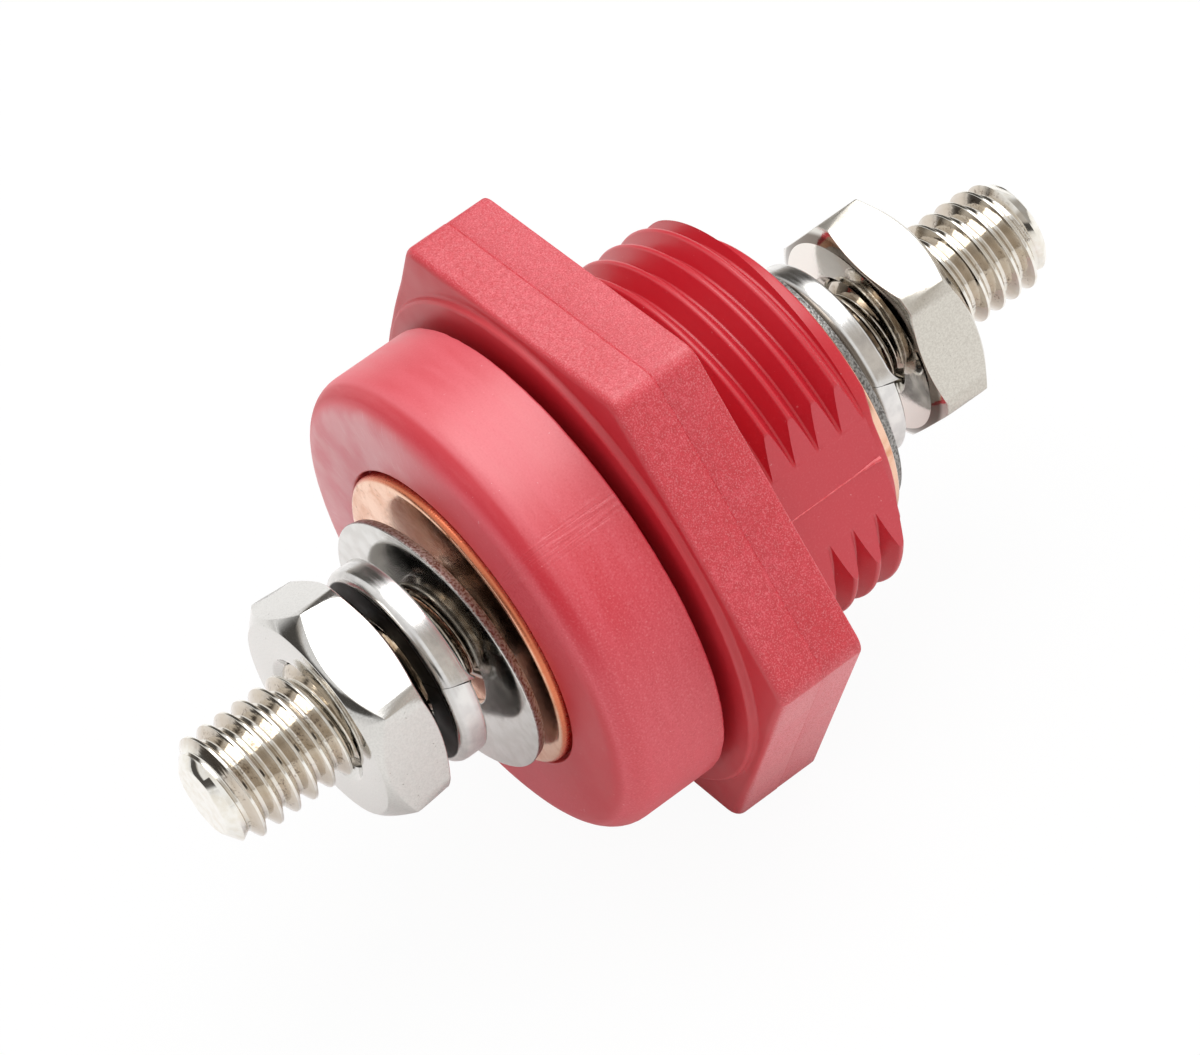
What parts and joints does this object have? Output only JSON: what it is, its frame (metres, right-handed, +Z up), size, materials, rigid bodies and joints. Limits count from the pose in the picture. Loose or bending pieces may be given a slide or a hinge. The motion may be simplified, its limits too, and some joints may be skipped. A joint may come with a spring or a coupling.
{
  "type": "feed-through stud",
  "caption": "Threaded power stud in a copper bush and a red moulded panel housing, with a hexagonal panel nut and a nut, lock washer and flat washer at each end.",
  "frame": {"origin": "on the stud's axis, in the plane of the head's rear face, where the panel seats", "axes": "+Y along the stud from the front terminal to the back, through the panel; +Z up, square to the panel nut's top flat; +X to the right seen from the front"},
  "size_m": [0.0508, 0.0788, 0.0446],
  "materials": {
    "red_moulding": "satin, fine grain",
    "copper": "turned copper, bare",
    "stud_plating": "bright plated thread",
    "stainless": "bright, machined",
    "washer_steel": "stamped, grainy rims"
  },
  "bodies": {
    "base": {"housing": "red_moulding", "bush": "copper", "stud": "stud_plating"},
    "panel_nut": {"panel_nut": "red_moulding"},
    "front_washers": {"front_washer": "washer_steel", "front_lock": "washer_steel"},
    "front_nut": {"front_nut": "stainless"},
    "back_washers": {"back_washer": "washer_steel", "back_lock": "washer_steel"},
    "back_nut": {"back_nut": "stainless"}
  },
  "joints": [
    {"name": "panel_nut_travel", "type": "slide", "parent": "base", "child": "panel_nut", "axis": [0, 1, 0], "range_m": [-0.001, 0.011]},
    {"name": "front_washers_travel", "type": "slide", "parent": "base", "child": "front_washers", "axis": [0, -1, 0], "range_m": [-0.0003, 0.008]},
    {"name": "front_nut_turn", "type": "hinge", "parent": "front_washers", "child": "front_nut", "pos_m": [0, -0.0197, 0], "axis": [0, -1, 0], "range_deg": [-60, 1800]},
    {"name": "back_washers_travel", "type": "slide", "parent": "base", "child": "back_washers", "axis": [0, 1, 0], "range_m": [0, 0.0072]},
    {"name": "back_nut_turn", "type": "hinge", "parent": "back_washers", "child": "back_nut", "pos_m": [0, 0.0327, 0], "axis": [0, 1, 0], "range_deg": [0, 1620]}
  ],
  "couplings": [
    {"joint": "front_washers_travel", "follows": "front_nut_turn", "m_per_rad": 0.00025266},
    {"joint": "back_washers_travel", "follows": "back_nut_turn", "m_per_rad": 0.00025266}
  ]
}
